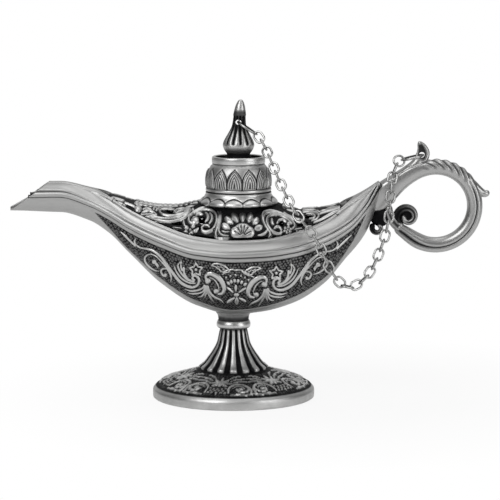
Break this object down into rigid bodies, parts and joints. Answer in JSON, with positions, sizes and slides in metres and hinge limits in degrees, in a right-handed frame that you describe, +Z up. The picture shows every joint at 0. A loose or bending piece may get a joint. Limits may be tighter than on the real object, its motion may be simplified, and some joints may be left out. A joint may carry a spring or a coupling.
{
  "type": "genie oil lamp",
  "caption": "Boat-shaped antique-silver oil lamp on a fluted foot, with a long spout, an openwork deck, a domed lid, a scrolled handle and a chain that keeps the lid.",
  "frame": {"origin": "middle of the foot's underside", "axes": "+X towards the handle, -X towards the spout, +Y away from the side with the chain, +Z up"},
  "size_m": [0.1991, 0.0676, 0.1246],
  "materials": {
    "antique_silver": "silver plate over cast metal, dark patina left in the relief",
    "plain_silver": "plain silver plate, satin",
    "zinc_steel": "zinc-plated steel",
    "chain_nickel": "bright nickel plate"
  },
  "bodies": {
    "lamp": {"bowl": "antique_silver", "rim": "antique_silver", "deck": "antique_silver", "neck_collar": "antique_silver", "foot": "antique_silver", "stem_collar": "antique_silver", "foot_screw": "zinc_steel", "foot_washer": "zinc_steel", "handle": "antique_silver", "handle_ring": "chain_nickel", "chain_end_ring": "chain_nickel"},
    "lid": {"lid_cap": "antique_silver", "lid_plug": "plain_silver", "finial": "antique_silver", "finial_screw": "zinc_steel", "lid_washer": "zinc_steel", "finial_ring": "chain_nickel"},
    "chain_lid_side": {"chain_link_01": "chain_nickel", "chain_link_02": "chain_nickel", "chain_link_03": "chain_nickel", "chain_link_04": "chain_nickel", "chain_link_05": "chain_nickel", "chain_link_06": "chain_nickel", "chain_link_07": "chain_nickel", "chain_link_08": "chain_nickel", "chain_link_09": "chain_nickel", "chain_link_10": "chain_nickel", "chain_link_11": "chain_nickel", "chain_link_12": "chain_nickel", "chain_link_13": "chain_nickel", "chain_link_14": "chain_nickel", "chain_link_15": "chain_nickel", "chain_link_16": "chain_nickel", "chain_link_17": "chain_nickel", "chain_link_18": "chain_nickel", "chain_link_19": "chain_nickel", "chain_link_20": "chain_nickel"},
    "chain_handle_side": {"chain_link_21": "chain_nickel", "chain_link_22": "chain_nickel", "chain_link_23": "chain_nickel", "chain_link_24": "chain_nickel", "chain_link_25": "chain_nickel", "chain_link_26": "chain_nickel", "chain_link_27": "chain_nickel", "chain_link_28": "chain_nickel", "chain_link_29": "chain_nickel", "chain_link_30": "chain_nickel", "chain_link_31": "chain_nickel", "chain_link_32": "chain_nickel", "chain_link_33": "chain_nickel", "chain_link_34": "chain_nickel"}
  },
  "joints": [
    {"name": "lid_lift", "type": "slide", "parent": "lamp", "child": "lid", "axis": [0, 0, 1], "range_m": [0, 0.016]},
    {"name": "chain_swing", "type": "hinge", "parent": "lid", "child": "chain_lid_side", "pos_m": [0.00942, -0.0003, 0.11043], "axis": [-0.1865, 0.8943, -0.4066], "range_deg": [0, 12.2]},
    {"name": "chain_bend", "type": "hinge", "parent": "chain_lid_side", "child": "chain_handle_side", "pos_m": [0.04869, -0.01993, 0.04926], "axis": [-0.7256, 0.6603, 0.1939], "range_deg": [0, 9.4]}
  ],
  "couplings": [
    {"joint": "chain_swing", "follows": "lid_lift", "rad_per_m": 13.147},
    {"joint": "chain_bend", "follows": "lid_lift", "rad_per_m": 10.091}
  ]
}
